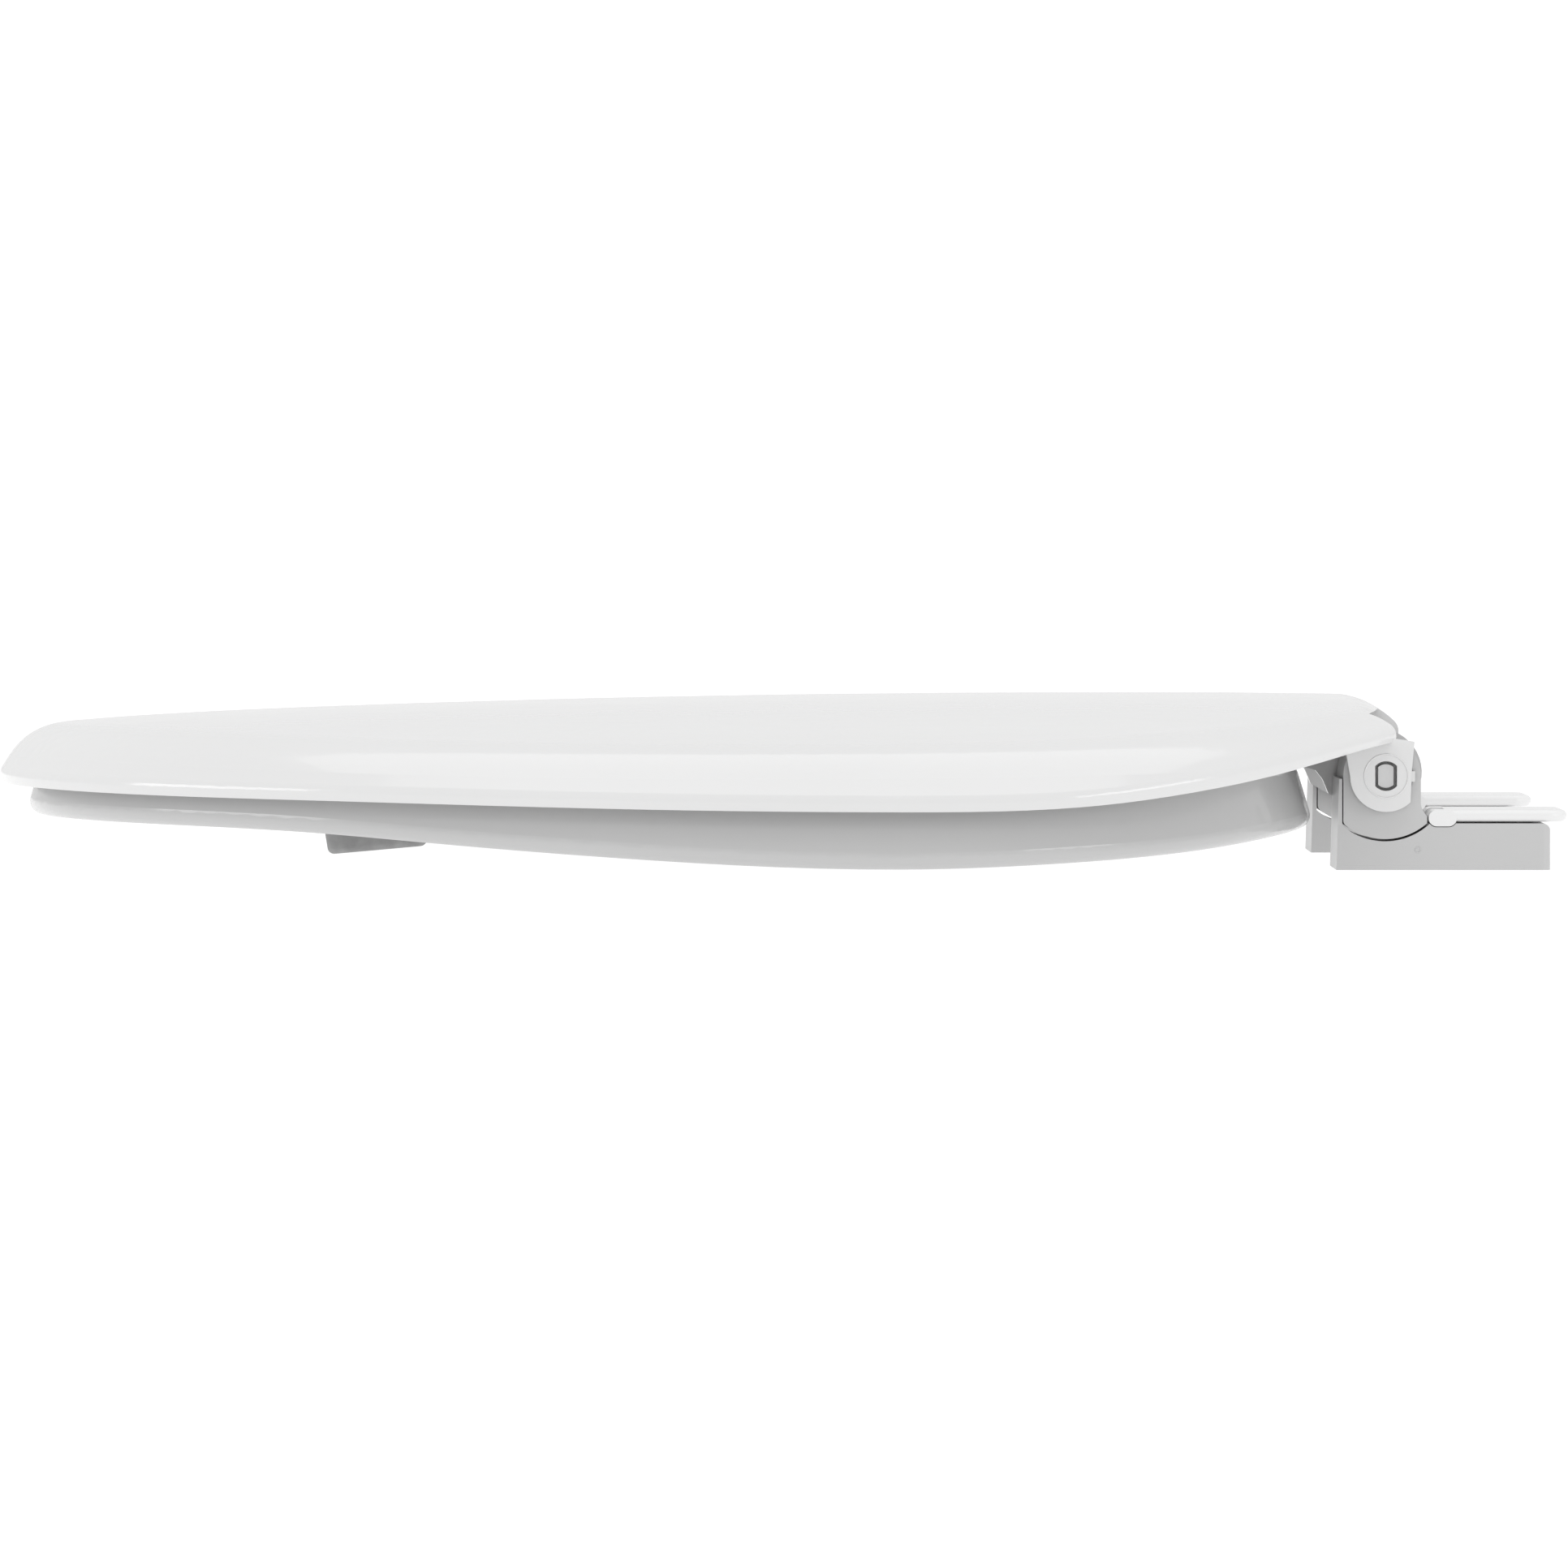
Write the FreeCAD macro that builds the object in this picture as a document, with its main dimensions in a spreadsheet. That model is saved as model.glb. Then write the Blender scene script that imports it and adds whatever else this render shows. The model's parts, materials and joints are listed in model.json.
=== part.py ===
import FreeCAD, Part
import math
import os
from FreeCAD import Vector, Rotation, Placement

# Toilet seat with lid, soft-close dampers and quick-release hinges.
# Frame: origin midway between the two fixing-bolt holes, on the bowl's rim. +X is the seated user's left,
# +Y points back to the wall and +Z up. Millimetres.

doc = FreeCAD.newDocument("toilet_seat")

# --------------------------------------------------------------------------- driving dimensions
sheet = doc.addObject("Spreadsheet::Sheet", "Dimensions")
DIMENSIONS = {
    "bolt_spacing": 139.7,      # fixing-hole centres
    "bolt_hole_r": 4.0,
    "bolt_head_r": 8.0,         # recess for the fixing bolt's head
    "bolt_head_depth": 6.0,
    "pin_y": -34.0,             # common pivot axis of ring and lid
    "pin_z": 29.0,
    "base_width": 34.6,
    "base_front": -14.9,        # from here to lever_tip, Y is counted from the pivot axis
    "base_rear": 50.9,
    "base_height": 14.3,
    "front_wall": 1.75,         # at its foot; it thins by front_draft towards its top
    "front_draft": 0.8,
    "front_wall_top": 28.0,
    "cradle_r": 20.2,
    "post_front": -12.8,
    "post_rear": 11.0,
    "post_foot": 12.9,
    "post_foot_z": 16.6,
    "post_top_r": 12.0,
    "post_bottom_r": 19.5,
    "post_width": 34.4,
    "lever_root": 13.3,
    "lever_tip": 56.2,
    "lever_under": 14.8,
    "lever_thick": 3.6,
    "lever_width": 35.2,
    "lever_pivot_y": 15.9,
    "lever_pivot_z": 15.9,
    "lever_knuckle_r": 2.5,
    "heel_length": 3.6,
    "lever_pin_r": 1.2,
    "lug_width": 10.0,          # base's knuckle between the lever's two
    "damper_r": 8.6,
    "damper_length": 24.0,
    "shaft_high": 7.2,          # double-D damper shaft
    "shaft_wide": 4.7,
    "ear_hole_high": 9.1,
    "ear_hole_wide": 6.7,
    "pivot_pin_r": 4.0,
    "bushing_wall": 1.2,
    "lid_ear_thick": 4.5,
    "lid_ear_r": 11.0,
    "ring_ear_thick": 5.0,
    "ring_ear_r": 13.6,
    "ear_gap": 0.5,
    "lid_reach": 431.7,         # pivot axis to the lid's front tip
    "lid_half_width": 184.0,
    "lid_rear": 12.4,
    "lid_wall": 3.2,
    "lid_top_r": 1240.0,        # crown across the lid
    "ring_reach": 422.7,
    "ring_half_width": 177.0,
    "ring_rear": -22.4,
    "ring_band": 72.0,          # ring's width at the sides and front
    "ring_top": 34.0,
    "ring_gauge_z": 19.0,       # height at which the ring's outline is measured
    "ring_side_draft": 0.3,     # how far a side leans in per millimetre of height
    "ring_wall": 4.0,
    "ring_bumper_z": 5.3,
    "widest_back": 150.0,       # widest line, measured forward from the pivot axis
}
for row, (alias, value) in enumerate(DIMENSIONS.items(), start=1):
    sheet.set(f"A{row}", alias)
    sheet.set(f"B{row}", str(value))
    sheet.setAlias(f"B{row}", alias)
doc.recompute()


def size(alias):
    """A driving dimension read back from the sheet."""
    return float(getattr(sheet, alias))


PIN = Vector(0, size("pin_y"), size("pin_z"))
SIDES = {"left": 1, "right": -1}
LABELS = []


# --------------------------------------------------------------------------- helpers
def expr(obj, **bindings):
    """Bind properties to sheet formulas; bare words that are aliases become sheet references."""
    for prop, formula in bindings.items():
        words = []
        for token in formula.replace("(", " ( ").replace(")", " ) ").split():
            words.append(f"Dimensions.{token}" if token in DIMENSIONS else token)
        obj.setExpression(prop.replace("__", "."), " ".join(words))
    return obj


def keep(obj, label):
    """Mark an object as a finished sub-part."""
    obj.Label = label
    LABELS.append(obj)
    return obj


def boolean(kind, name, first, second):
    result = doc.addObject(f"Part::{kind}", name)
    result.Base = first
    result.Tool = second
    return result


def rod(name, start_x, length, radius):
    """Cylinder along +X on the pivot axis."""
    obj = doc.addObject("Part::Cylinder", name)
    obj.Placement = Placement(Vector(0, 0, 0), Rotation(Vector(0, 1, 0), 90))
    expr(obj, Placement__Base__x=start_x, Placement__Base__y="pin_y", Placement__Base__z="pin_z",
         Height=length, Radius=radius)
    return obj


def block(name, x, y, z, length, width, height):
    obj = doc.addObject("Part::Box", name)
    return expr(obj, Placement__Base__x=x, Placement__Base__y=y, Placement__Base__z=z,
                Length=length, Width=width, Height=height)


def feature(name, shape):
    obj = doc.addObject("Part::Feature", name)
    obj.Shape = shape
    obj.Placement = Placement()
    return obj


def side_face(points_or_edges):
    return Part.Face(Part.Wire(points_or_edges))


def side_point(y, z):
    """A point of the YZ plane, Y and Z counted from the pivot axis."""
    return PIN + Vector(0, y, z)


def arc_about_pin(radius, y_from, y_to, lower):
    """Arc centred on the pivot axis between two Y offsets, below or above it."""
    sign = -1 if lower else 1
    ends = [side_point(y, sign * math.sqrt(radius**2 - y**2)) for y in (y_from, y_to)]
    middle = side_point(0, sign * radius)
    return Part.Arc(ends[0], middle, ends[1]).toShape()


def polyline(points):
    return [Part.LineSegment(a, b).toShape() for a, b in zip(points[:-1], points[1:])]


def across(face, x_from, x_to):
    """Extrude a side-view face from one X to another."""
    low, high = sorted((x_from, x_to))
    return face.translated(Vector(low, 0, 0)).extrude(Vector(high - low, 0, 0))


def double_d(high, wide, x_from, x_to):
    """Round bar of diameter `high` with two vertical flats `wide` apart."""
    low, high_x = sorted((x_from, x_to))
    bar = Part.makeCylinder(high / 2, high_x - low, PIN + Vector(low, 0, 0), Vector(1, 0, 0))
    flats = Part.makeBox(high_x - low, wide, high, PIN + Vector(low, -wide / 2, -high / 2))
    return bar.common(flats)


def plan_wire(tip, rear, half_width, corner_in, z):
    """Seat outline seen from above: elliptical nose, sides that draw in, flat rear edge.

    tip and rear are Y offsets from the pivot axis; corner_in is the half-width of the flat rear edge.
    """
    widest = -size("widest_back")
    back = rear - widest
    wide = half_width - corner_in
    halves = []
    for side in (1, -1):
        nose = Part.Ellipse(Vector(0, 0, 0), widest - tip, half_width)
        turn = Rotation(Vector(0, 0, 1), -90)
        nose.rotate(Placement(Vector(0, 0, 0), turn))
        nose.translate(Vector(0, PIN.y + widest, z))
        start, end = (0, math.pi / 2) if side > 0 else (-math.pi / 2, 0)
        poles = [
            (half_width, widest),
            (half_width, widest + 0.28 * back),
            (corner_in + 0.93 * wide, widest + 0.50 * back),
            (corner_in + 0.69 * wide, widest + 0.74 * back),
            (corner_in + 0.39 * wide, rear),
            (corner_in, rear),
        ]
        flank = Part.BezierCurve()
        flank.setPoles([Vector(side * x, PIN.y + y, z) for x, y in poles])
        halves.append((nose.toShape(start, end), flank.toShape()))
    flat = Part.LineSegment(Vector(corner_in, PIN.y + rear, z), Vector(-corner_in, PIN.y + rear, z))
    edges = [halves[0][0], halves[0][1], flat.toShape(), halves[1][1], halves[1][0]]
    return Part.Wire(Part.__sortEdges__(edges))


def taper(lower, upper):
    return Part.makeLoft([lower, upper], True, True)


def profile_block(points, base_z):
    """Solid across the whole width, between a level and a smooth side-view curve through the points."""
    curve = Part.BSplineCurve()
    curve.interpolate([PIN + Vector(0, y, z - PIN.z) for y, z in points])
    first, last = curve.value(curve.FirstParameter), curve.value(curve.LastParameter)
    corners = [last, Vector(0, last.y, base_z), Vector(0, first.y, base_z), first]
    reach = size("lid_half_width") + 20
    return across(side_face([curve.toShape()] + polyline(corners)), -reach, reach)


def lies_on(edge, tool):
    """True where the edge runs along the surface of a cutting tool."""
    span = edge.LastParameter - edge.FirstParameter
    spots = [edge.valueAt(edge.FirstParameter + share * span) for share in (0.3, 0.7)]
    return all(tool.distToShape(Part.Vertex(spot))[0] < 0.05 for spot in spots)


def edges_near(shape, test):
    return [edge for edge in shape.Edges if test(edge)]


# --------------------------------------------------------------------------- hinge: base, post, lever
def base_centre(side):
    return f"{side} * bolt_spacing / 2"


def make_base(name, side):
    """Mounting base: one side profile padded across, with the fixing bolt's stepped hole."""
    half = size("base_width") / 2
    front, rear = size("base_front"), size("base_rear")
    top = size("base_height") - PIN.z
    inner = front + size("front_wall")
    radius = size("cradle_r")
    cradle_end = math.sqrt(radius**2 - top**2)
    cradle_start = -math.sqrt(radius**2 - inner**2)
    outline = polyline([
        side_point(inner, cradle_start),
        side_point(inner, size("front_wall_top") - PIN.z),
        side_point(front + size("front_draft"), size("front_wall_top") - PIN.z),
        side_point(front, -PIN.z),
        side_point(rear, -PIN.z),
        side_point(rear, top),
        side_point(cradle_end, top),
    ])
    outline.append(arc_about_pin(radius, cradle_end, inner, lower=True))
    centre = side * size("bolt_spacing") / 2
    solid = across(side_face(outline), centre - half, centre + half)
    rounded = edges_near(solid, lambda e: e.CenterOfMass.y > PIN.y + rear - 0.1
                         and e.CenterOfMass.z > 1 and e.Length > 1)
    solid = solid.makeFillet(2.5, rounded)
    blank = feature(f"{name}_blank", solid)

    hole = doc.addObject("Part::Cylinder", f"{name}_hole")
    expr(hole, Placement__Base__x=base_centre(side), Radius="bolt_hole_r", Height="base_height")
    recess = doc.addObject("Part::Cylinder", f"{name}_recess")
    expr(recess, Placement__Base__x=base_centre(side), Radius="bolt_head_r",
         Placement__Base__z="base_height - bolt_head_depth", Height="bolt_head_depth + 1")
    spring_seat = block(f"{name}_spring_seat", f"{base_centre(side)} - 5", "pin_y + lever_root + 8.4",
                        "base_height - 1.6", "10", "7.2", "3")
    wells = boolean("Fuse", f"{name}_wells", boolean("Fuse", f"{name}_bolt_way", hole, recess), spring_seat)
    groove = feature(f"{name}_groove", lever_root_room(side))
    cuts = boolean("Fuse", f"{name}_cuts", wells, groove)
    hollowed = boolean("Cut", f"{name}_hollowed", blank, cuts)
    knuckled = boolean("Fuse", f"{name}_knuckled", hollowed, feature(f"{name}_lug", base_lug(side)))
    keep(boolean("Cut", f"{name}_body", knuckled, lever_pin_bore(name, side)), name)


def lever_pivot():
    return Vector(0, PIN.y + size("lever_pivot_y"), size("lever_pivot_z"))


def lever_heel(side, radius, width):
    """Round-ended bar of the lever's root and heel, lying across the base."""
    low = lever_pivot() + Vector(side * size("bolt_spacing") / 2 - width / 2, 0, 0)
    back = Vector(0, size("heel_length"), 0)
    ends = [Part.makeCylinder(radius, width, spot, Vector(1, 0, 0)) for spot in (low, low + back)]
    between = Part.makeBox(width, back.y, 2 * radius, low - Vector(0, 0, radius))
    return between.fuse(ends)


def lever_root_room(side):
    """Groove across the base for the lever's root and heel, open at the top."""
    radius, width = size("lever_knuckle_r") + 0.25, size("base_width") + 10
    groove = lever_heel(side, radius, width)
    return groove.fuse(groove.translated(Vector(0, 0, 2 * radius)))


def base_lug(side):
    """Round-topped knuckle of the base that carries the lever's pin."""
    radius, wide = size("lever_knuckle_r") - 0.2, size("lug_width")
    low = lever_pivot() + Vector(side * size("bolt_spacing") / 2 - wide / 2, 0, 0)
    top = Part.makeCylinder(radius, wide, low, Vector(1, 0, 0))
    stem = Part.makeBox(wide, 2 * radius, 5, low + Vector(0, -radius, -5))
    return top.fuse(stem).removeSplitter()


def lever_pin_bore(name, side):
    bore = doc.addObject("Part::Cylinder", f"{name}_pin_bore")
    bore.Placement = Placement(Vector(0, 0, 0), Rotation(Vector(0, 1, 0), 90))
    return expr(bore, Placement__Base__x=f"{base_centre(side)} - 12.2",
                Placement__Base__y="pin_y + lever_pivot_y", Placement__Base__z="lever_pivot_z",
                Height="24.4", Radius="lever_pin_r + 0.04")


def post_profile():
    """Rounded post with a foot that follows the base's cradle and a fillet towards the lever."""
    front, rear, foot = size("post_front"), size("post_rear"), size("post_foot")
    top_r, bottom_r = size("post_top_r"), size("post_bottom_r")
    foot_z = size("post_foot_z") - PIN.z
    low_front = -math.sqrt(bottom_r**2 - front**2)
    low_rear = -math.sqrt(bottom_r**2 - foot**2)
    crown = Part.Arc(side_point(front, 0), side_point(-0.9, top_r), side_point(rear, 0)).toShape()
    flare = Part.Arc(side_point(rear, foot_z + 5), side_point(rear + 0.5, foot_z + 1.9),
                     side_point(foot, foot_z)).toShape()
    return [
        crown,
        Part.LineSegment(side_point(rear, 0), side_point(rear, foot_z + 5)).toShape(),
        flare,
        Part.LineSegment(side_point(foot, foot_z), side_point(foot, low_rear)).toShape(),
        arc_about_pin(bottom_r, foot, front, lower=True),
        Part.LineSegment(side_point(front, low_front), side_point(front, 0)).toShape(),
    ]


def make_post(name, side, damper_side):
    """Hinge post; its damper pocket opens on the outer face (damper_side 1) or the inner one (-1)."""
    half = size("post_width") / 2
    centre = side * size("bolt_spacing") / 2
    solid = across(side_face(post_profile()), centre - half, centre + half)
    corners = edges_near(solid, lambda e: abs(e.Length - 2 * half) < 0.1 and e.CenterOfMass.z < PIN.z - 13
                         and e.CenterOfMass.y < PIN.y)
    solid = solid.makeFillet(2.0, corners)
    blank = feature(f"{name}_blank", solid)
    open_way = side * damper_side
    mouth = f"{base_centre(side)} + {open_way} * post_width / 2"
    pocket_length = "damper_length + 3"
    pocket_start = mouth if open_way < 0 else f"{mouth} - ( {pocket_length} )"
    pocket = rod(f"{name}_pocket", pocket_start, pocket_length, "damper_r + 0.05")
    pin_end = f"{base_centre(side)} - {open_way} * post_width / 2"
    bore_start = f"{pin_end} - 1" if open_way > 0 else f"{pin_end} - 5"
    bore = rod(f"{name}_bore", bore_start, "6", "pivot_pin_r + 0.02")
    notch = block(f"{name}_latch_notch", f"{base_centre(side)} - 5.5", "pin_y + post_foot - 6",
                  "pin_z - post_bottom_r", "11", "7", "5.5")
    ways = boolean("Fuse", f"{name}_ways", boolean("Fuse", f"{name}_bores", pocket, bore), notch)
    keep(boolean("Cut", f"{name}_body", blank, ways), name)


def make_lever(name, side):
    """Release lever: round-ended flat tongue whose root turns on a pin through the base's lug."""
    start, tip = size("lever_pivot_y"), size("lever_tip")
    under, thick = size("lever_under") - PIN.z, size("lever_thick")
    width, radius = size("lever_width"), size("lever_knuckle_r")
    left = side * size("bolt_spacing") / 2 - width / 2
    plate = Part.makeBox(width, tip - start, thick, side_point(start, under) + Vector(left, 0, 0))
    uprights = edges_near(plate, lambda e: abs(e.Length - thick) < 0.01
                          and e.CenterOfMass.y > PIN.y + start + 1)
    plate = plate.makeFillet(6.0, uprights)
    rims = edges_near(plate, lambda e: e.CenterOfMass.y > PIN.y + start + 0.1
                      and abs(abs(e.CenterOfMass.z - PIN.z - under - thick / 2) - thick / 2) < 0.01)
    plate = plate.makeFillet(thick / 2 - 0.05, rims)
    axis_start = lever_pivot() + Vector(left, 0, 0)
    gap = size("lug_width") + 0.6
    way = Part.makeBox(gap, radius + 3.3, 12, axis_start + Vector((width - gap) / 2, -radius - 0.2, -6))
    solid = plate.cut(way).fuse(lever_heel(side, radius, width).cut(way)).removeSplitter()
    blank = feature(f"{name}_blank", solid)
    keep(boolean("Cut", f"{name}_body", blank, lever_pin_bore(name, side)), name)


def make_latch_spring(name, side):
    """Arched strip of spring steel in a shallow seat under the lever."""
    strip, half_span, rise = 0.4, 3.3, 1.2
    floor = size("base_height") - 1.6 - PIN.z
    middle = size("lever_root") + 12
    below = Part.Arc(side_point(middle - half_span, floor), side_point(middle, floor + rise),
                     side_point(middle + half_span, floor)).toShape()
    above = Part.Arc(side_point(middle - half_span, floor + strip), side_point(middle, floor + rise + strip),
                     side_point(middle + half_span, floor + strip)).toShape()
    ends = []
    for y in (middle - half_span, middle + half_span):
        ends += polyline([side_point(y, floor), side_point(y, floor + strip)])
    face = side_face(Part.__sortEdges__([below, above] + ends))
    centre = side * size("bolt_spacing") / 2
    keep(feature(f"{name}_body", across(face, centre - 4.5, centre + 4.5)), name)


def make_lever_pin(name, side):
    pin = doc.addObject("Part::Cylinder", f"{name}_body")
    pin.Placement = Placement(Vector(0, 0, 0), Rotation(Vector(0, 1, 0), 90))
    expr(pin, Placement__Base__x=f"{base_centre(side)} - 12", Placement__Base__y="pin_y + lever_pivot_y",
         Placement__Base__z="lever_pivot_z", Height="24", Radius="lever_pin_r")
    keep(pin, name)


# --------------------------------------------------------------------------- dampers, pins, bushings
def face_x(side, way, offset=0.0):
    """X of a post's outer (way 1) or inner (way -1) face, moved outward from the post by offset."""
    return side * (size("bolt_spacing") / 2 + way * (size("post_width") / 2 + offset))


def make_damper(prefix, side, way):
    """Rotary damper: cup, cap and a rotor whose double-D shaft stands out of the post."""
    mouth = face_x(side, way)
    inward = -1 if mouth > face_x(side, -way) else 1
    axis = Vector(inward, 0, 0)
    cap_thick = 2.4
    length = size("damper_length")
    start = PIN + Vector(mouth + inward * (cap_thick + 0.3), 0, 0)
    cup = Part.makeCylinder(size("damper_r"), length, start, axis)
    cup = cup.cut(Part.makeCylinder(size("damper_r") - 1.6, length - 2, start, axis))
    keep(feature(f"{prefix}_damper_cup", cup), f"{prefix}_damper_housing")
    shaft_r = size("shaft_high") / 2
    cap_start = PIN + Vector(mouth + inward * 0.1, 0, 0)
    cap = Part.makeCylinder(size("damper_r"), cap_thick, cap_start, axis)
    cap = cap.cut(Part.makeCylinder(shaft_r + 0.06, cap_thick, cap_start, axis))
    keep(feature(f"{prefix}_damper_lid", cap), f"{prefix}_damper_cap")

    rotor_start = start + axis * 0.4
    rotor = Part.makeCylinder(size("damper_r") - 2.0, length - 3.2, rotor_start, axis)
    neck = Part.makeCylinder(shaft_r, cap_thick + 0.9, rotor_start - axis * (cap_thick + 0.8), axis)
    outer_end = mouth - inward * (size("ear_gap") + size("lid_ear_thick") - 1.2)
    shaft = double_d(size("shaft_high"), size("shaft_wide"), mouth + inward * 0.2, outer_end)
    core = rotor.fuse([neck, shaft]).removeSplitter()
    keep(feature(f"{prefix}_damper_core", core), f"{prefix}_damper_rotor")


def bushing_r():
    return size("pivot_pin_r") + 0.06 + size("bushing_wall")


def make_pivot(prefix, side, way, ear_thick):
    """Plain pivot pin fixed in the post, and the bushing that the ear turns on."""
    face = face_x(side, way)
    outward = 1 if face > face_x(side, -way) else -1
    axis = Vector(outward, 0, 0)
    in_post = 3.6
    pin_start = PIN + Vector(face, 0, 0) - axis * in_post
    pin = Part.makeCylinder(size("pivot_pin_r"), in_post + size("ear_gap") + ear_thick, pin_start, axis)
    keep(feature(f"{prefix}_pin_body", pin), f"{prefix}_pivot_pin")
    ear_start = PIN + Vector(face, 0, 0) + axis * size("ear_gap")
    sleeve = Part.makeCylinder(bushing_r(), ear_thick, ear_start, axis)
    sleeve = sleeve.cut(Part.makeCylinder(size("pivot_pin_r") + 0.06, ear_thick, ear_start, axis))
    keep(feature(f"{prefix}_sleeve", sleeve), f"{prefix}_bushing")


# --------------------------------------------------------------------------- lid
LID_RIM = [(-460, 24.6), (-431.7, 23.1), (-322, 21.2), (-228, 19.7), (-150, 19.1), (-92, 20.9),
           (-64, 24.5), (-24, 32.2), (-4, 36.2), (25, 37.4)]
LIP_ROUNDING = 1.3          # what the rounded lip takes off the lid's widest line
LID_CROWN = [(-465, 36.0), (-421, 42.6), (-372, 46.2), (-300, 49.1), (-190, 51.7), (-80, 52.5),
             (-10, 52.1), (25, 51.2)]


def crown_block(drop, margin=0.0):
    """Everything under the lid's crowned top, lowered by drop."""
    reach = size("lid_half_width") + 25
    sagitta = size("lid_top_r") - math.sqrt(size("lid_top_r")**2 - reach**2)
    sections = []
    for y, z in LID_CROWN:
        top = z - drop
        left = Vector(reach, PIN.y + y, top - sagitta)
        right = Vector(-reach, PIN.y + y, top - sagitta)
        arch = Part.Arc(left, Vector(0, PIN.y + y, top), right).toShape()
        low_right = Vector(-reach, PIN.y + y, -60)
        low_left = Vector(reach, PIN.y + y, -60)
        sections.append(Part.Wire([arch] + polyline([right, low_right, low_left, left])))
    return Part.makeLoft(sections, True, False)


def lid_form(inset, drop):
    """Closed form of the lid, shrunk by inset at the sides and by drop on top."""
    slope, rear_slope = 0.64, 0.14      # how far a side leans in per millimetre of height
    low_z, tip_z, high_z = 10.0, 27.0, 58.0
    wires = []
    for z in (low_z, high_z):
        lean = (z - tip_z) * slope
        wires.append(plan_wire(-size("lid_reach") - LIP_ROUNDING + inset + lean,
                               size("lid_rear") - inset - (z - tip_z) * rear_slope,
                               size("lid_half_width") + LIP_ROUNDING - inset - lean,
                               75 - 0.3 * lean, z))
    return taper(*wires).common(crown_block(drop))


def lid_skin(inset, drop, edge_r):
    """The lid's form with its top edge rounded."""
    form = lid_form(inset, drop)
    rim = edges_near(form, lambda e: e.BoundBox.ZMin > 34 and e.BoundBox.XLength + e.BoundBox.YLength > 40)
    return form.makeFillet(edge_r, rim)


def lid_ear(side):
    """Ear beside the post's outer face: round bottom, straight rear, ending inside the lid's wall."""
    radius = size("lid_ear_r")
    rear = 7.5
    low = -math.sqrt(radius**2 - rear**2)
    outline = [Part.Arc(side_point(-radius, 0), side_point(-3, -math.sqrt(radius**2 - 9)),
                        side_point(rear, low)).toShape()]
    outline += polyline([side_point(rear, low), side_point(rear + 0.4, 2), side_point(rear + 1.2, 10.5),
                         side_point(-13.5, 14), side_point(-radius, 0)])
    near = face_x(side, 1, size("ear_gap"))
    far = face_x(side, 1, size("ear_gap") + size("lid_ear_thick"))
    return across(side_face(outline), near, far)


def lid_lug(side):
    """Small stop lug on the ear's rear edge."""
    near = face_x(side, 1, size("ear_gap"))
    low = min(near, near + side * 2.4)
    return Part.makeBox(2.4, 3.0, 3.2, PIN + Vector(low, 6.0, -1.8))


def make_lid():
    wall = size("lid_wall")
    outer = lid_skin(0, 0, 22)
    cavity = lid_skin(wall, wall, 18)
    below_rim = profile_block(LID_RIM, -80)
    outer = outer.cut(below_rim)
    lip = edges_near(outer, lambda e: lies_on(e, below_rim))
    shell = outer.makeFillet(4.5, lip).cut(cavity)
    reach_in = size("post_width") / 2 + size("ear_gap") + size("ring_ear_thick") + 1.5
    for side in SIDES.values():
        centre = side * size("bolt_spacing") / 2
        out_x = face_x(side, 1, size("ear_gap"))
        low, high = sorted((centre - side * reach_in, out_x))
        start = PIN + Vector(low, 0, 0)
        room = Part.makeCylinder(size("post_bottom_r") + 0.2, high - low, start, Vector(1, 0, 0))
        shell = shell.cut(room)
    ears = [lid_ear(side) for side in SIDES.values()]
    lugs = [lid_lug(side) for side in SIDES.values()]
    shell = shell.fuse(ears + lugs).removeSplitter()
    hole_reach = (face_x(1, 1, -1), face_x(1, 1, size("lid_ear_thick") + 2))
    shell = shell.cut(double_d(size("ear_hole_high"), size("ear_hole_wide"), *hole_reach))
    bore = Part.makeCylinder(bushing_r(), 12, PIN + Vector(face_x(-1, 1, 8), 0, 0), Vector(1, 0, 0))
    shell = shell.cut(bore)
    keep(feature("lid_body", shell), "lid_shell")
    return cavity


def make_lid_bumpers(cavity):
    """Four cushions between the lid's inner skin and the ring."""
    radius = 6.0
    places = {"front": (62.0, -388.0), "rear": (126.0, -104.0)}
    for end, (x, y) in places.items():
        for name, side in SIDES.items():
            low = Vector(side * x, PIN.y + y, size("ring_top") + 0.4)
            stud = Part.makeCylinder(radius, 30, low).common(cavity)
            foot = edges_near(stud, lambda e: abs(e.CenterOfMass.z - low.z) < 0.01)
            label = f"{end}_{name}_lid_bumper"
            keep(feature(f"{label}_body", stud.makeFillet(1.5, foot)), label)


# --------------------------------------------------------------------------- ring
RING_BOTTOM = [(-445, 15.8), (-422, 14.9), (-322, 12.6), (-292, 10.5), (-228, 6.2), (-142, 3.6), (-104, 4.9),
               (-55, 8.3), (-30, 11.6), (0, 16.5)]


def ring_outline(inset, z):
    """The ring's outer outline at a height, with its draft."""
    lean = inset + (z - size("ring_gauge_z")) * size("ring_side_draft")
    return plan_wire(-size("ring_reach") + lean, size("ring_rear") - lean,
                     size("ring_half_width") - lean, 62 - 0.3 * lean, z)


def ring_opening(grow, z):
    band = size("ring_band")
    return plan_wire(-size("ring_reach") + band - grow, -92 + grow,
                     size("ring_half_width") - band + grow, 30, z)


def ring_form(wall):
    """Closed form of the ring, or with a wall its hollow: sides lean in, opening wider at the top."""
    low, top = -6, size("ring_top") - wall
    outer = taper(ring_outline(wall, low), ring_outline(wall, top))
    hole = taper(ring_opening(wall, low - 1), ring_opening(wall + 5, top + 1))
    return outer.cut(hole)


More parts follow.
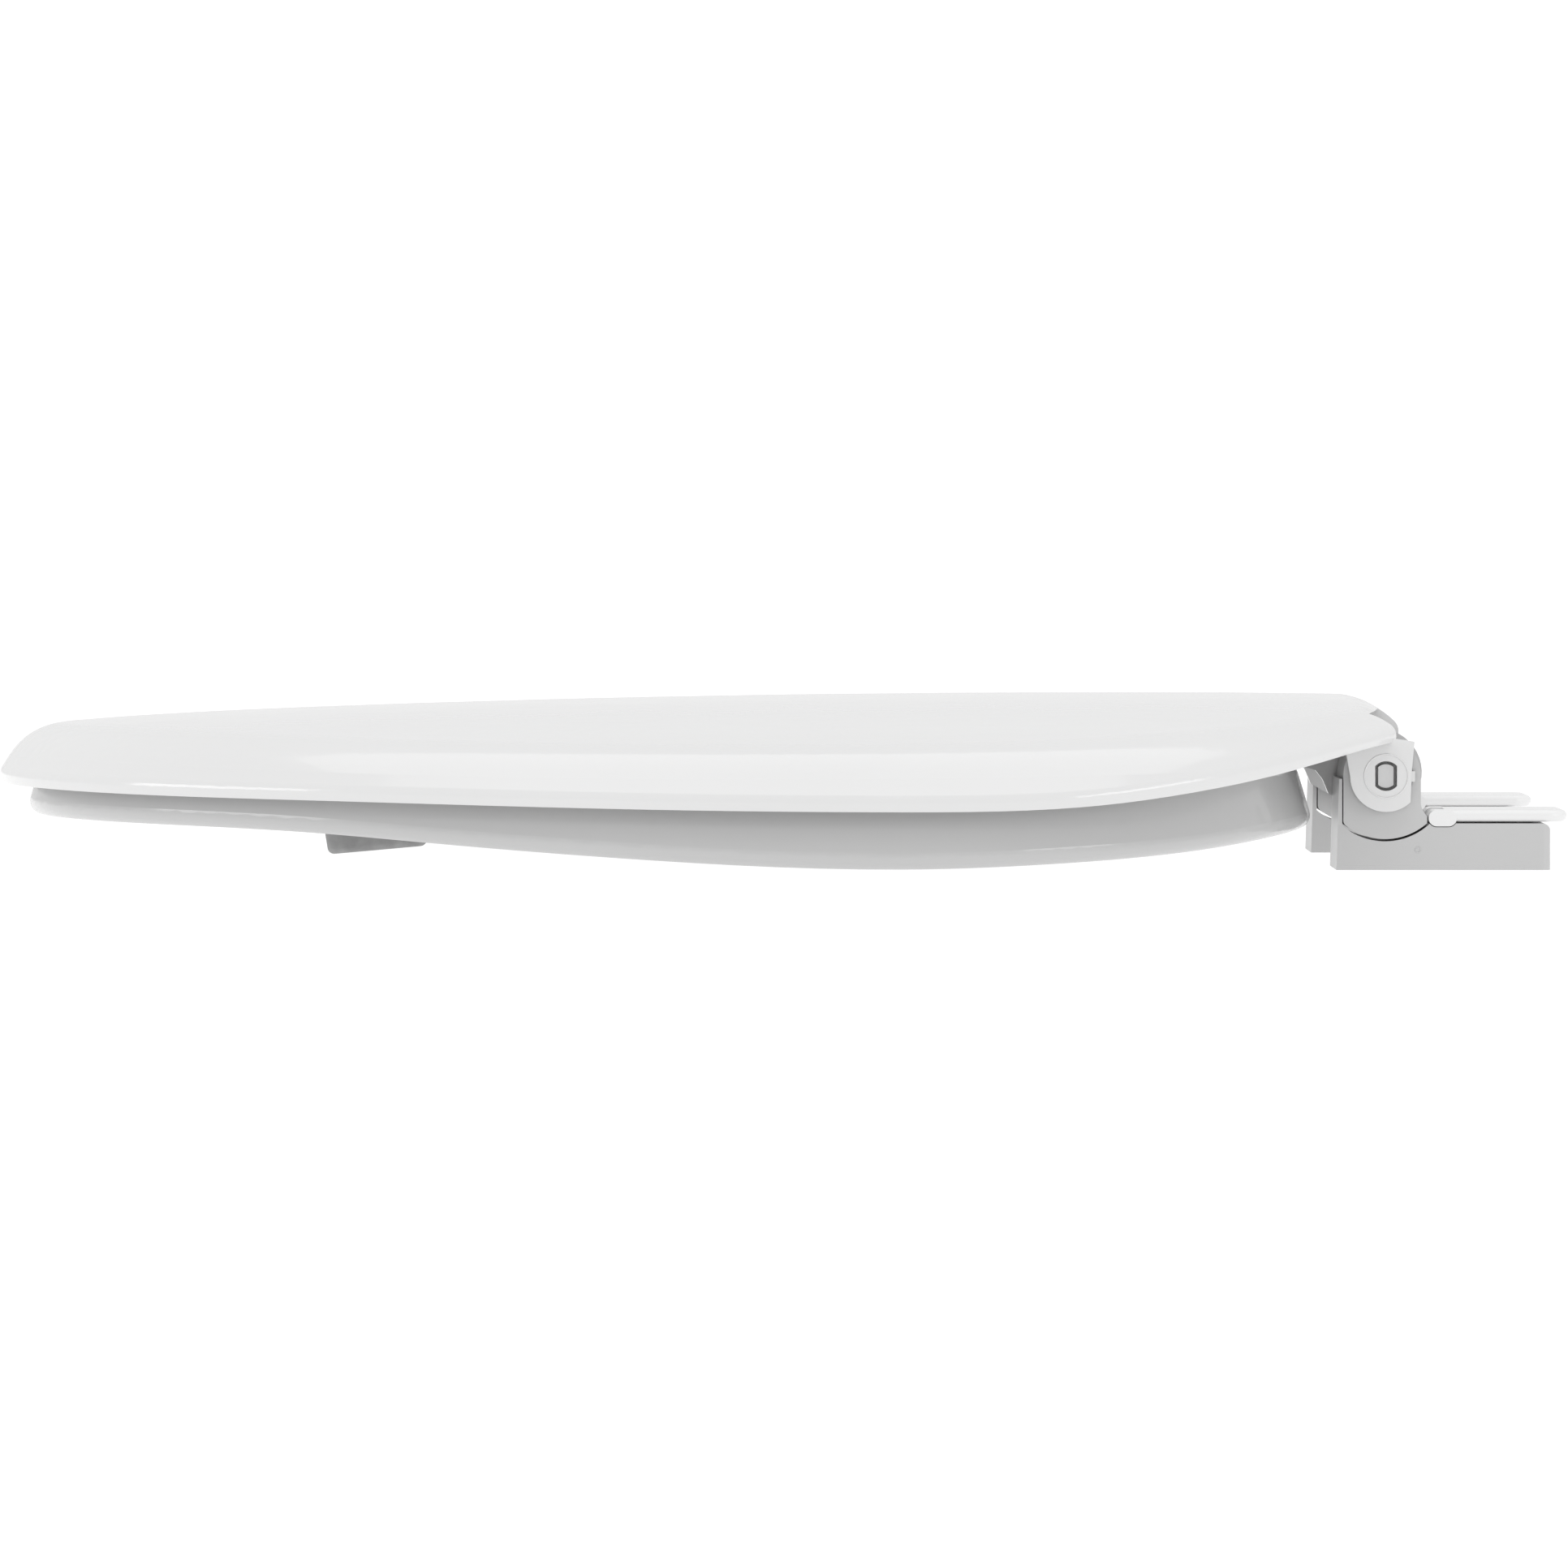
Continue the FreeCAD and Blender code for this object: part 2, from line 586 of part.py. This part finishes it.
def ring_ear(side):
    """Arm from the ring's top wall to a boss round the pivot axis, beside the post's inner face."""
    radius = size("ring_ear_r")
    boss_start, boss_end = math.radians(130), math.radians(235)
    start = side_point(radius * math.cos(boss_start), radius * math.sin(boss_start))
    end = side_point(radius * math.cos(boss_end), radius * math.sin(boss_end))
    boss = Part.Arc(start, side_point(radius, 0), end).toShape()
    arm = polyline([end, side_point(-15.4, -6.6), side_point(-17.2, -2.2), side_point(-19.4, 0.6),
                    side_point(-23.0, 1.8), side_point(-34.0, 1.8), side_point(-34.0, 3.4),
                    side_point(-21.0, 8.4), start])
    return across(side_face([boss] + arm), face_x(side, -1, size("ear_gap")),
                  face_x(side, -1, size("ear_gap") + size("ring_ear_thick")))


def is_outer_edge(edge):
    """True on the ring's outside, away from the opening."""
    middle = edge.valueAt((edge.FirstParameter + edge.LastParameter) / 2)
    across_share = middle.x / size("ring_half_width")
    along_share = (middle.y - PIN.y + size("widest_back")) / (size("ring_reach") - size("widest_back"))
    behind = middle.y > PIN.y + size("ring_rear") - 8
    return behind or math.hypot(across_share, along_share) > 0.85


def make_ring():
    """Ring moulded as a channel that opens downwards, closed by a plate welded under it."""
    form = ring_form(0)
    top = size("ring_top")
    rims = edges_near(form, lambda e: abs(e.CenterOfMass.z - top) < 0.01)
    form = form.makeFillet(7.0, rims)
    below = profile_block(RING_BOTTOM, -80)
    form = form.cut(below)
    keel = edges_near(form, lambda e: lies_on(e, below) and is_outer_edge(e))
    form = form.makeFillet(4.0, keel)
    wall = size("ring_wall")
    channel = ring_form(wall)
    shell = form.cut(channel)
    ears = [ring_ear(side) for side in SIDES.values()]
    shell = shell.fuse(ears).removeSplitter()
    shell = shell.cut(double_d(size("shaft_high") + 0.12, size("shaft_wide") + 0.12,
                               face_x(-1, -1, -1), face_x(-1, -1, size("ring_ear_thick") + 4)))
    bore_start = PIN + Vector(face_x(1, -1, 8), 0, 0)
    shell = shell.cut(Part.makeCylinder(bushing_r(), 12, bore_start, Vector(1, 0, 0)))
    keep(feature("ring_shell_body", shell), "seat_ring_shell")

    recess, plate_thick = 3.5, 3.0
    plate_top = profile_block([(y, z + recess + plate_thick) for y, z in RING_BOTTOM], -80)
    plate_bottom = profile_block([(y, z + recess) for y, z in RING_BOTTOM], -80)
    plate = channel.common(plate_top).cut(plate_bottom)
    keep(feature("ring_plate_body", plate), "seat_ring_underside")
    return shell.fuse(form.cut(plate_bottom))


def make_ring_bumpers(form):
    """Four rubber feet, each a wedge under the ring that thins towards the back."""
    long, wide = 30.0, 13.0
    places = {"front": (96.0, -323.7, 0.0, 0.09), "rear": (122.0, -150.0, -1.2, 0.0)}
    for end, (x, y, drop, slope) in places.items():
        foot = size("ring_bumper_z") + drop
        for name, side in SIDES.items():
            toe = side_point(y, foot - PIN.z)
            outline = polyline([toe, side_point(y + long, foot - PIN.z + slope * long),
                                side_point(y + long, 0), side_point(y - 4, 0), toe])
            wedge = across(side_face(outline), side * x - wide / 2, side * x + wide / 2)
            uprights = edges_near(wedge, lambda e: e.BoundBox.ZLength > 10)
            wedge = wedge.makeFillet(3.0, uprights)
            sole = edges_near(wedge, lambda e: e.CenterOfMass.z < foot + 3.5 and e.BoundBox.ZMax < 12)
            wedge = wedge.makeFillet(2.0, sole).cut(form)
            lowest = min(wedge.Solids, key=lambda s: s.BoundBox.ZMin)
            label = f"{end}_{name}_ring_bumper"
            keep(feature(f"{label}_body", lowest), label)


# --------------------------------------------------------------------------- build everything
for side_name, side_sign in SIDES.items():
    make_base(f"{side_name}_mounting_base", side_sign)
    make_lever(f"{side_name}_release_lever", side_sign)
    make_lever_pin(f"{side_name}_lever_pin", side_sign)
    make_latch_spring(f"{side_name}_latch_spring", side_sign)
make_post("left_hinge_post", SIDES["left"], damper_side=1)
make_post("right_hinge_post", SIDES["right"], damper_side=-1)
make_damper("lid", SIDES["left"], way=1)
make_damper("ring", SIDES["right"], way=-1)
make_pivot("left_ring", SIDES["left"], way=-1, ear_thick=size("ring_ear_thick"))
make_pivot("right_lid", SIDES["right"], way=1, ear_thick=size("lid_ear_thick"))
make_lid_bumpers(make_lid())
make_ring_bumpers(make_ring())

doc.recompute()

for item in doc.Objects:
    if "Invalid" in item.State or "Error" in item.State:
        raise RuntimeError(f"{item.Name} failed: {item.State}")
for item in LABELS:
    if item.Shape.isNull() or not item.Shape.isValid():
        raise RuntimeError(f"{item.Label} has no valid shape")
    if len(item.Shape.Solids) != 1:
        raise RuntimeError(f"{item.Label} has {len(item.Shape.Solids)} solids")

os.makedirs("parts", exist_ok=True)
for item in LABELS:
    item.Shape.exportStep(f"parts/{item.Label}.step")
    box = item.Shape.BoundBox
    print(f"{item.Label:28s} {item.Shape.Volume:10.0f} mm3  y {box.YMin:7.1f} {box.YMax:6.1f}"
          f"  z {box.ZMin:5.1f} {box.ZMax:5.1f}")
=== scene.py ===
"""Looks of the toilet seat: materials, small moulded details, stage, lights and camera. Metres."""
import json
import math

import bmesh
import bpy
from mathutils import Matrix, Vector


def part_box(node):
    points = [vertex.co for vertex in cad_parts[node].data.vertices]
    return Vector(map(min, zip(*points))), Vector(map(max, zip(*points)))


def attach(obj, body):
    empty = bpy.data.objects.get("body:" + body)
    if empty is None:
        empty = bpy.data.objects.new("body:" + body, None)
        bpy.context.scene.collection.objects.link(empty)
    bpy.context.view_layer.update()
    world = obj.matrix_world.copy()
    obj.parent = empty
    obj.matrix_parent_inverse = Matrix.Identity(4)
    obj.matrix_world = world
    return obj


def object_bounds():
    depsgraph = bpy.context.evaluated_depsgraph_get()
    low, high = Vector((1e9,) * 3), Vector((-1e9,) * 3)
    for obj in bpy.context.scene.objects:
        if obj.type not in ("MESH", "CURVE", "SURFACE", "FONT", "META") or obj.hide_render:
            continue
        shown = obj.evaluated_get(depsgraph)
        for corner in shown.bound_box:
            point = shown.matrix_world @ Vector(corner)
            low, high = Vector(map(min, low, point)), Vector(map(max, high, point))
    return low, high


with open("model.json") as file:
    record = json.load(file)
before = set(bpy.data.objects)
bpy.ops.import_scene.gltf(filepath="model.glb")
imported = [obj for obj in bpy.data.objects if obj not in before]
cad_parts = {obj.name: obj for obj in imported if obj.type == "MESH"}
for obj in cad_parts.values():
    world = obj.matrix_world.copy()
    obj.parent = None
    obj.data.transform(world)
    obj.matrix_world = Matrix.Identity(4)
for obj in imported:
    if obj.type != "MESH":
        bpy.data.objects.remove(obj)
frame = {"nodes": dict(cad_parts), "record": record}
CAD_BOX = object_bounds()
MM = 0.001
SIDES = (("left", 1), ("right", -1))

PIVOT_Y, PIVOT_Z = -34.0 * MM, 29.0 * MM    # axis that ring and lid turn on
EAR_FACE = 92.05 * MM                       # distance of the lid ears' outer side from the middle
EAR_RING_RADIUS = 6.7 * MM
EAR_RING_THICK = 0.22 * MM
EJECTOR_FROM_FRONT, EJECTOR_UP = 25.0 * MM, 6.2 * MM
EJECTOR_RADIUS = 0.85 * MM
EJECTOR_THICK = 0.16 * MM
SOFT_EDGES = {"mounting_base": 0.35 * MM, "release_lever": 0.3 * MM, "hinge_post": 0.35 * MM}

NOISE_LOW, NOISE_HIGH = 0.3, 0.7            # span of a noise that most of its values fall in

STAGE_REACH = 14.0
STAGE_DROP = 0.5 * MM                       # floor below the part's lowest point
BACKDROP_X, BACKDROP_TOP = -9.0, 1.0
WORLD_STRENGTH = 0.84
SUN_STRENGTH, SUN_SIZE, SUN_TILT = 0.7, 70, 6       # the last two in degrees
STRIP_LONG, STRIP_WIDE, STRIP_POWER = 1.0, 0.4, 3

CAMERA_X, CAMERA_Z = 3.0, 0.1175
VIEW_Y = -0.2185
AIM_Z = 0.0237
SENSOR_WIDTH, LENS = 36.0, 218.0


# ------------------------------------------------------------------ materials
def new_material(name):
    material = bpy.data.materials.new(name)
    material.use_nodes = True
    tree = material.node_tree
    shader = tree.nodes["Principled BSDF"]
    return material, tree, shader


def noise(tree, scale, detail=3.0, roughness=0.5):
    coords = tree.nodes.new("ShaderNodeTexCoord")
    node = tree.nodes.new("ShaderNodeTexNoise")
    node.inputs["Scale"].default_value = scale
    node.inputs["Detail"].default_value = detail
    node.inputs["Roughness"].default_value = roughness
    tree.links.new(coords.outputs["Object"], node.inputs["Vector"])
    return node.outputs["Fac"]


def grey(level):
    return (level, level, level)


def ramp(tree, source, low, high):
    """Colour that runs from low to high with a noise."""
    node = tree.nodes.new("ShaderNodeValToRGB")
    node.color_ramp.elements[0].position = NOISE_LOW
    node.color_ramp.elements[0].color = (*low, 1)
    node.color_ramp.elements[1].position = NOISE_HIGH
    node.color_ramp.elements[1].color = (*high, 1)
    tree.links.new(source, node.inputs["Fac"])
    return node.outputs["Color"]


def remap(tree, source, low, high):
    """Number that runs from low to high with a noise."""
    node = tree.nodes.new("ShaderNodeMapRange")
    node.inputs["From Min"].default_value = NOISE_LOW
    node.inputs["From Max"].default_value = NOISE_HIGH
    node.inputs["To Min"].default_value = low
    node.inputs["To Max"].default_value = high
    tree.links.new(source, node.inputs["Value"])
    return node.outputs["Result"]


def bump(tree, height, strength, distance, onto=None):
    node = tree.nodes.new("ShaderNodeBump")
    node.inputs["Strength"].default_value = strength
    node.inputs["Distance"].default_value = distance
    tree.links.new(height, node.inputs["Height"])
    if onto is not None:
        tree.links.new(onto, node.inputs["Normal"])
    return node.outputs["Normal"]


def moulded(name, base, rough, coat, grain=0.0, subsurface=0.0):
    """White moulded plastic: faint cloudiness, uneven polish and the slight waviness of a moulding."""
    material, tree, shader = new_material(name)
    low = tuple(c * 0.985 for c in base)
    cloud = noise(tree, 9.0, 4.0)
    tree.links.new(ramp(tree, cloud, low, base), shader.inputs["Base Color"])
    polish = noise(tree, 26.0, 5.0, 0.6)
    tree.links.new(remap(tree, polish, rough * 0.85, rough * 1.2), shader.inputs["Roughness"])
    wave = bump(tree, noise(tree, 22.0, 1.0), 0.05, 0.06 * MM)
    if grain:
        wave = bump(tree, noise(tree, 2600.0, 2.0, 0.7), grain, 0.05 * MM, wave)
    tree.links.new(wave, shader.inputs["Normal"])
    shader.inputs["Coat Weight"].default_value = coat
    shader.inputs["Coat Roughness"].default_value = 0.06
    shader.inputs["IOR"].default_value = 1.49
    shader.inputs["Subsurface Weight"].default_value = subsurface
    shader.inputs["Subsurface Radius"].default_value = (0.004, 0.0036, 0.003)
    return material


def rubber(name, base):
    """Soft matt rubber with a fine skin and dusty wear."""
    material, tree, shader = new_material(name)
    low = tuple(c * 0.75 for c in base)
    tree.links.new(ramp(tree, noise(tree, 240.0, 5.0), low, base), shader.inputs["Base Color"])
    tree.links.new(remap(tree, noise(tree, 90.0, 4.0), 0.55, 0.8), shader.inputs["Roughness"])
    tree.links.new(bump(tree, noise(tree, 1500.0, 3.0), 0.35, 0.1 * MM), shader.inputs["Normal"])
    return material


def steel(name):
    """Stainless steel with fine drawn lines."""
    material, tree, shader = new_material(name)
    coords = tree.nodes.new("ShaderNodeTexCoord")
    stretch = tree.nodes.new("ShaderNodeMapping")
    stretch.inputs["Scale"].default_value = (40, 2400, 2400)
    lines = tree.nodes.new("ShaderNodeTexNoise")
    lines.inputs["Scale"].default_value = 1.0
    tree.links.new(coords.outputs["Object"], stretch.inputs["Vector"])
    tree.links.new(stretch.outputs["Vector"], lines.inputs["Vector"])
    tree.links.new(ramp(tree, lines.outputs["Fac"], (0.5, 0.5, 0.51), (0.66, 0.66, 0.67)),
                   shader.inputs["Base Color"])
    tree.links.new(remap(tree, lines.outputs["Fac"], 0.2, 0.36), shader.inputs["Roughness"])
    tree.links.new(bump(tree, lines.outputs["Fac"], 0.2, 0.02 * MM), shader.inputs["Normal"])
    shader.inputs["Metallic"].default_value = 1.0
    return material


MATERIALS = {
    "lid_plastic": moulded("lid_white", grey(0.72), 0.16, 0.6, subsurface=0.04),
    # The ring is the same white plastic as the lid. Its darker grey base is painted shade, standing
    # for the shade under the lid's overhang.
    "ring_plastic": moulded("ring_white_painted_shade", grey(0.52), 0.2, 0.5, subsurface=0.04),
    "hinge_plastic": moulded("hinge_white", grey(0.53), 0.34, 0.15, grain=0.18),
    # The levers are moulded in the same hinge plastic. Their paler grey is painted light, standing for
    # the light on their top-facing sides.
    "lever": moulded("lever_painted_light", grey(0.8), 0.3, 0.3, grain=0.1),
    "damper_plastic": moulded("damper_grey", grey(0.62), 0.4, 0.05, grain=0.25),
    "bushing_plastic": moulded("bushing_natural", (0.78, 0.78, 0.75), 0.42, 0.0, grain=0.2),
    "bumper_rubber": rubber("bumper_grey", grey(0.34)),
    "spring_steel": steel("stainless"),
}


def dress_nodes():
    """Give every CAD node its slot's material (levers a paler copy of the hinge plastic, which is
    painted light) and hinge mouldings soft edges.
    """
    for part in frame["record"]["subparts"]:
        name = part["node"]
        node = frame["nodes"][name]
        is_lever = name.endswith("release_lever")
        node.data.materials.clear()
        node.data.materials.append(MATERIALS["lever" if is_lever else part["material_slot"]])
        radius = SOFT_EDGES.get(name.partition("_")[2])
        if radius:
            bevel = node.modifiers.new("soft_edges", "BEVEL")
            bevel.width = radius
            bevel.segments = 3
            bevel.limit_method = "ANGLE"
            bevel.angle_limit = math.radians(40)
            bevel.harden_normals = True


# ------------------------------------------------------------------ small moulded details
def add_ring(bm, centre, major, minor, around, section):
    """Closed round ring about an axis along X, with so many steps around it and in its section."""
    turn = Vector((0, 0, 1)).rotation_difference(Vector((1, 0, 0)))
    rows = []
    for i in range(around):
        u = 2 * math.pi * i / around
        row = []
        for k in range(section):
            v = 2 * math.pi * k / section
            reach = major + minor * math.cos(v)
            spot = Vector((reach * math.cos(u), reach * math.sin(u), minor * math.sin(v)))
            row.append(bm.verts.new(turn @ spot + centre))
        rows.append(row)
    for i in range(around):
        ahead = rows[(i + 1) % around]
        for k in range(section):
            following = (k + 1) % section
            bm.faces.new((rows[i][k], ahead[k], ahead[following], rows[i][following]))


def ring_piece(name, body, slot, centre, major, minor, around, section):
    """A thin moulded ring in its slot's material, riding on a body."""
    mesh = bpy.data.meshes.new(name)
    bm = bmesh.new()
    add_ring(bm, centre, major, minor, around, section)
    bmesh.ops.recalc_face_normals(bm, faces=bm.faces)
    bm.to_mesh(mesh)
    bm.free()
    mesh.shade_smooth()
    piece = bpy.data.objects.new(name, mesh)
    bpy.context.scene.collection.objects.link(piece)
    mesh.materials.append(MATERIALS[slot])
    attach(piece, body)


def ejector_marks():
    """A small witness ring of the mould's ejector on each base's outer side."""
    for name, side in SIDES:
        low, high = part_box(f"{name}_mounting_base")
        face = high.x if side > 0 else low.x
        centre = Vector((face, low.y + EJECTOR_FROM_FRONT, low.z + EJECTOR_UP))
        ring_piece(f"{name}_ejector_mark", "base", "hinge_plastic", centre,
                   EJECTOR_RADIUS, EJECTOR_THICK, 32, 8)


def ear_rings():
    """The shallow raised ring round the shaft hole on each lid ear's outer side."""
    for name, side in SIDES:
        centre = Vector((side * EAR_FACE, PIVOT_Y, PIVOT_Z))
        ring_piece(f"{name}_ear_ring", "lid", "lid_plastic", centre,
                   EAR_RING_RADIUS, EAR_RING_THICK, 96, 12)


# ------------------------------------------------------------------ stage, light, camera
def plain_sheet(name, corners, shade, glow, mirrored):
    """A flat, barely mottled, glowing piece of the stage; reflections leave it out if not mirrored."""
    material, tree, shader = new_material(name)
    low = tuple(c * 0.99 for c in shade)
    tree.links.new(ramp(tree, noise(tree, 3.0, 2.0), low, shade), shader.inputs["Base Color"])
    shader.inputs["Roughness"].default_value = 0.9
    shader.inputs["Specular IOR Level"].default_value = 0.1
    shader.inputs["Emission Color"].default_value = (1, 1, 1, 1)
    shader.inputs["Emission Strength"].default_value = glow
    mesh = bpy.data.meshes.new(name)
    mesh.from_pydata(corners, [], [(0, 1, 2, 3)])
    mesh.materials.append(material)
    obj = bpy.data.objects.new(name, mesh)
    obj.visible_glossy = mirrored
    bpy.context.scene.collection.objects.link(obj)


def stage():
    far, level = STAGE_REACH, CAD_BOX[0][2] - STAGE_DROP
    floor = [(-far, -far, level), (far, -far, level), (far, far, level), (-far, far, level)]
    plain_sheet("floor", floor, grey(0.15), 0.95, mirrored=True)
    back, top = BACKDROP_X, BACKDROP_TOP
    backdrop = [(back, -far, level), (back, far, level), (back, far, top), (back, -far, top)]
    plain_sheet("backdrop", backdrop, grey(0.5), 0.85, mirrored=False)


def strip_light(name, place, aim):
    """Long soft lamp turned towards a point."""
    light = bpy.data.lights.new(name, "AREA")
    light.shape = "RECTANGLE"
    light.size = STRIP_LONG
    light.size_y = STRIP_WIDE
    light.energy = STRIP_POWER
    obj = bpy.data.objects.new(name, light)
    obj.location = place
    obj.rotation_euler = (Vector(aim) - Vector(place)).to_track_quat("-Z", "Y").to_euler()
    bpy.context.scene.collection.objects.link(obj)


def lights():
    """White surroundings, a very soft sun from above, and a strip each at the front and the rear."""
    world = bpy.data.worlds.new("studio")
    bpy.context.scene.world = world
    world.use_nodes = True
    background = world.node_tree.nodes["Background"]
    background.inputs["Color"].default_value = (1, 1, 1, 1)
    background.inputs["Strength"].default_value = WORLD_STRENGTH
    sun = bpy.data.lights.new("sky_box", "SUN")
    sun.energy = SUN_STRENGTH
    sun.angle = math.radians(SUN_SIZE)
    sky_box = bpy.data.objects.new("sky_box", sun)
    sky_box.rotation_euler = (0, math.radians(SUN_TILT), 0)
    bpy.context.scene.collection.objects.link(sky_box)

    lid_low, lid_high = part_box("lid_shell")
    lever_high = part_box("left_release_lever")[1]
    middle = (0.0, (lid_low.y + lever_high.y) / 2, (lid_low.z + lid_high.z) / 2)
    strip_light("front_strip", (0.5, middle[1] - 1.7, 0.35), middle)
    strip_light("rear_strip", (1.3, middle[1] + 1.5, 0.45), middle)


def camera():
    """Long lens square to the seat's side, a little above the lid."""
    data = bpy.data.cameras.new("camera")
    data.sensor_width = SENSOR_WIDTH
    data.lens = LENS
    obj = bpy.data.objects.new("camera", data)
    obj.location = (CAMERA_X, VIEW_Y, CAMERA_Z)
    aim = Vector((0.0, VIEW_Y, AIM_Z))
    obj.rotation_euler = (aim - obj.location).to_track_quat("-Z", "Y").to_euler()
    bpy.context.scene.collection.objects.link(obj)
    bpy.context.scene.camera = obj
    bpy.context.scene.view_settings.view_transform = "Standard"


dress_nodes()
ejector_marks()
ear_rings()
stage()
lights()
camera()
